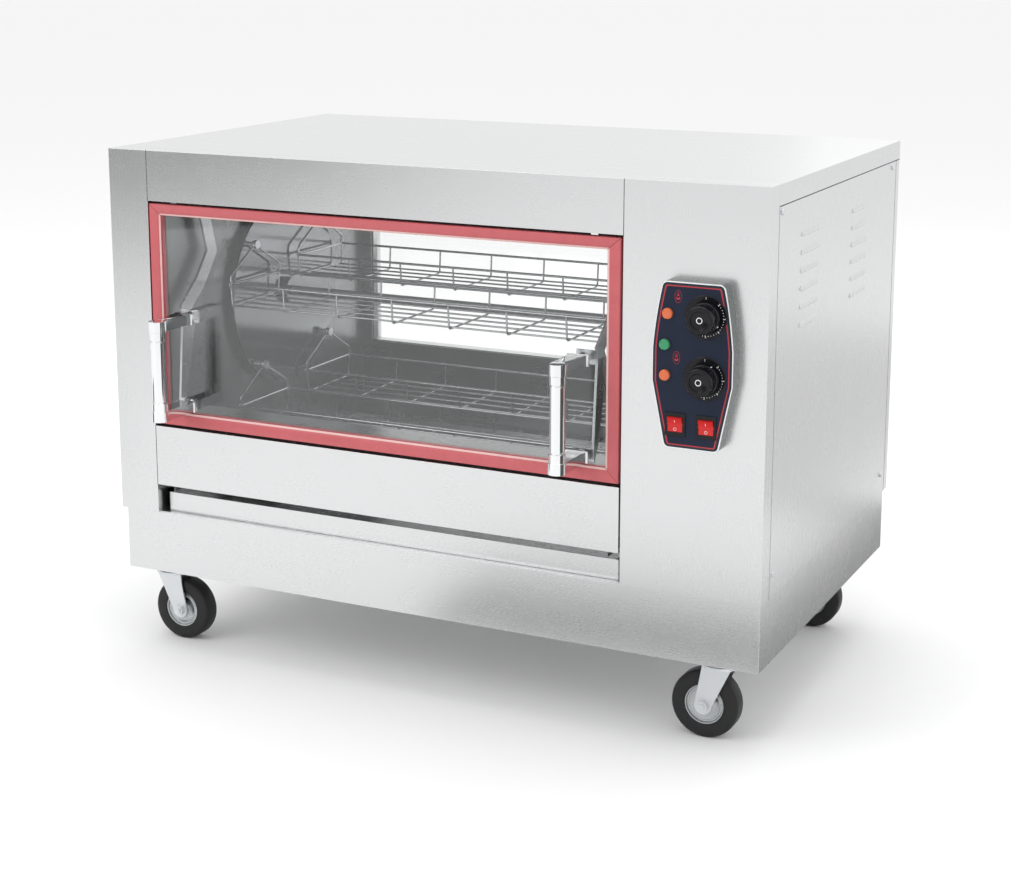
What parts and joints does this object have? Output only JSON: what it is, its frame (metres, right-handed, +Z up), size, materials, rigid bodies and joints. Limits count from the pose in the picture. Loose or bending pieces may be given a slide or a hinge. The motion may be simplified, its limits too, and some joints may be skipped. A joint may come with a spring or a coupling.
{
  "type": "chicken rotisserie",
  "caption": "Free-standing stainless steel rotisserie oven on swivel casters: glass door that swings up, wire baskets hanging in a turning rotor, drip tray and a control box beside the door.",
  "frame": {"origin": "centre of the footprint box, on the floor under the wheels", "axes": "+X to the control column, -Y out of the door, +Z up"},
  "size_m": [1.065, 0.736, 0.8],
  "materials": {
    "steel_panel": "fine satin stainless steel",
    "steel_liner": "mill finish stainless steel",
    "chrome": "polished",
    "bright_wire": "bright stainless wire",
    "clear_glass": "clear tempered glass",
    "red_seal": "satin silicone rubber",
    "black_seal": "matt rubber",
    "mineral_wool": "fibrous wool slab",
    "heater_steel": "heat darkened steel tube",
    "motor_paint": "satin black paint",
    "bronze": "sintered bronze",
    "navy_plate": "satin printed film on sheet",
    "lamp_lens": "translucent lens",
    "gloss_black": "gloss moulded plastic",
    "black_plastic": "matt moulded plastic",
    "red_plastic": "gloss moulded plastic",
    "zinc_plate": "bright zinc plated pressing",
    "black_tyre": "matt rubber tread on a light hub"
  },
  "bodies": {
    "cabinet": {"plinth": "steel_panel", "base_deck": "steel_panel", "left_column": "steel_panel", "header": "steel_panel", "control_column": "steel_panel", "lower_front_panel": "steel_panel", "top_cover": "steel_panel", "left_side_panel": "steel_panel", "right_side_panel": "steel_panel", "rear_panel": "steel_panel", "chamber_left_wall": "steel_liner", "chamber_right_wall": "steel_liner", "chamber_roof": "steel_liner", "chamber_rear_wall": "steel_liner", "front_sill": "steel_liner", "rear_window_glass": "clear_glass", "rear_window_seal": "black_seal", "insulation": "mineral_wool", "upper_heater": "heater_steel", "lower_heater": "heater_steel", "chamber_lamp": "clear_glass", "gear_motor": "motor_paint", "shaft_bushes": "bronze", "hinge_brackets": "steel_liner", "control_bezel": "steel_panel", "control_plate": "navy_plate", "indicator_lamps": "lamp_lens", "dial_rings": "gloss_black", "thermostats": "black_plastic", "switch_housings": "gloss_black", "cable_gland": "black_plastic", "panel_screws": "steel_liner", "caster_plates": "zinc_plate"},
    "door": {"door_glass": "clear_glass", "door_seal": "red_seal", "hinge_arm_left": "steel_liner", "hinge_arm_right": "steel_liner", "door_handles": "chrome", "door_bolts": "steel_liner"},
    "drip_tray": {"drip_tray": "steel_panel"},
    "rotor": {"rotor_shaft": "steel_liner", "rotor_discs": "steel_liner", "basket_pins": "steel_liner"},
    "basket_rear_upper": {"basket_rear_upper": "bright_wire"},
    "basket_front_upper": {"basket_front_upper": "bright_wire"},
    "basket_front_lower": {"basket_front_lower": "bright_wire"},
    "basket_rear_lower": {"basket_rear_lower": "bright_wire"},
    "upper_knob": {"upper_knob": "gloss_black"},
    "lower_knob": {"lower_knob": "gloss_black"},
    "left_rocker": {"left_rocker": "red_plastic"},
    "right_rocker": {"right_rocker": "red_plastic"},
    "front_left_fork": {"front_left_fork": "zinc_plate"},
    "front_left_wheel": {"front_left_wheel": "black_tyre"},
    "front_right_fork": {"front_right_fork": "zinc_plate"},
    "front_right_wheel": {"front_right_wheel": "black_tyre"},
    "rear_left_fork": {"rear_left_fork": "zinc_plate"},
    "rear_left_wheel": {"rear_left_wheel": "black_tyre"},
    "rear_right_fork": {"rear_right_fork": "zinc_plate"},
    "rear_right_wheel": {"rear_right_wheel": "black_tyre"}
  },
  "joints": [
    {"name": "door_hinge", "type": "hinge", "parent": "cabinet", "child": "door", "pos_m": [0, -0.276, 0.749], "axis": [-1, 0, 0], "range_deg": [0, 90]},
    {"name": "tray_slide", "type": "slide", "parent": "cabinet", "child": "drip_tray", "axis": [0, -1, 0], "range_m": [0, 0.45]},
    {"name": "rotor_spin", "type": "hinge", "parent": "cabinet", "child": "rotor", "pos_m": [0, 0.0402, 0.5351], "axis": [1, 0, 0], "continuous": true},
    {"name": "rear_upper_basket_swing", "type": "hinge", "parent": "rotor", "child": "basket_rear_upper", "pos_m": [0, 0.1327, 0.64573], "axis": [1, 0, 0], "continuous": true},
    {"name": "front_upper_basket_swing", "type": "hinge", "parent": "rotor", "child": "basket_front_upper", "pos_m": [0, -0.07043, 0.6276], "axis": [1, 0, 0], "continuous": true},
    {"name": "front_lower_basket_swing", "type": "hinge", "parent": "rotor", "child": "basket_front_lower", "pos_m": [0, -0.0523, 0.42447], "axis": [1, 0, 0], "continuous": true},
    {"name": "rear_lower_basket_swing", "type": "hinge", "parent": "rotor", "child": "basket_rear_lower", "pos_m": [0, 0.15083, 0.4426], "axis": [1, 0, 0], "continuous": true},
    {"name": "upper_knob_turn", "type": "hinge", "parent": "cabinet", "child": "upper_knob", "pos_m": [0.4514, -0.33, 0.6261], "axis": [0, 1, 0], "range_deg": [-120, 150]},
    {"name": "lower_knob_turn", "type": "hinge", "parent": "cabinet", "child": "lower_knob", "pos_m": [0.4514, -0.33, 0.5429], "axis": [0, 1, 0], "range_deg": [-30, 240]},
    {"name": "left_rocker_press", "type": "hinge", "parent": "cabinet", "child": "left_rocker", "pos_m": [0.411, -0.314, 0.477], "axis": [-1, 0, 0], "range_deg": [0, 22]},
    {"name": "right_rocker_press", "type": "hinge", "parent": "cabinet", "child": "right_rocker", "pos_m": [0.455, -0.314, 0.477], "axis": [-1, 0, 0], "range_deg": [0, 22]},
    {"name": "front_left_swivel", "type": "hinge", "parent": "cabinet", "child": "front_left_fork", "pos_m": [-0.486, -0.216, 0.11], "axis": [0, 0, 1], "continuous": true},
    {"name": "front_left_roll", "type": "hinge", "parent": "front_left_fork", "child": "front_left_wheel", "pos_m": [-0.466, -0.216, 0.05], "axis": [0, 1, 0], "continuous": true},
    {"name": "front_right_swivel", "type": "hinge", "parent": "cabinet", "child": "front_right_fork", "pos_m": [0.45, -0.216, 0.11], "axis": [0, 0, 1], "continuous": true},
    {"name": "front_right_roll", "type": "hinge", "parent": "front_right_fork", "child": "front_right_wheel", "pos_m": [0.43, -0.216, 0.05], "axis": [0, 1, 0], "continuous": true},
    {"name": "rear_left_swivel", "type": "hinge", "parent": "cabinet", "child": "rear_left_fork", "pos_m": [-0.486, 0.28, 0.11], "axis": [0, 0, 1], "continuous": true},
    {"name": "rear_left_roll", "type": "hinge", "parent": "rear_left_fork", "child": "rear_left_wheel", "pos_m": [-0.466, 0.28, 0.05], "axis": [0, 1, 0], "continuous": true},
    {"name": "rear_right_swivel", "type": "hinge", "parent": "cabinet", "child": "rear_right_fork", "pos_m": [0.45, 0.28, 0.11], "axis": [0, 0, 1], "continuous": true},
    {"name": "rear_right_roll", "type": "hinge", "parent": "rear_right_fork", "child": "rear_right_wheel", "pos_m": [0.43, 0.28, 0.05], "axis": [0, 1, 0], "continuous": true}
  ],
  "couplings": [
    {"joint": "rear_upper_basket_swing", "follows": "rotor_spin", "ratio": -1},
    {"joint": "front_upper_basket_swing", "follows": "rotor_spin", "ratio": -1},
    {"joint": "front_lower_basket_swing", "follows": "rotor_spin", "ratio": -1},
    {"joint": "rear_lower_basket_swing", "follows": "rotor_spin", "ratio": -1}
  ]
}
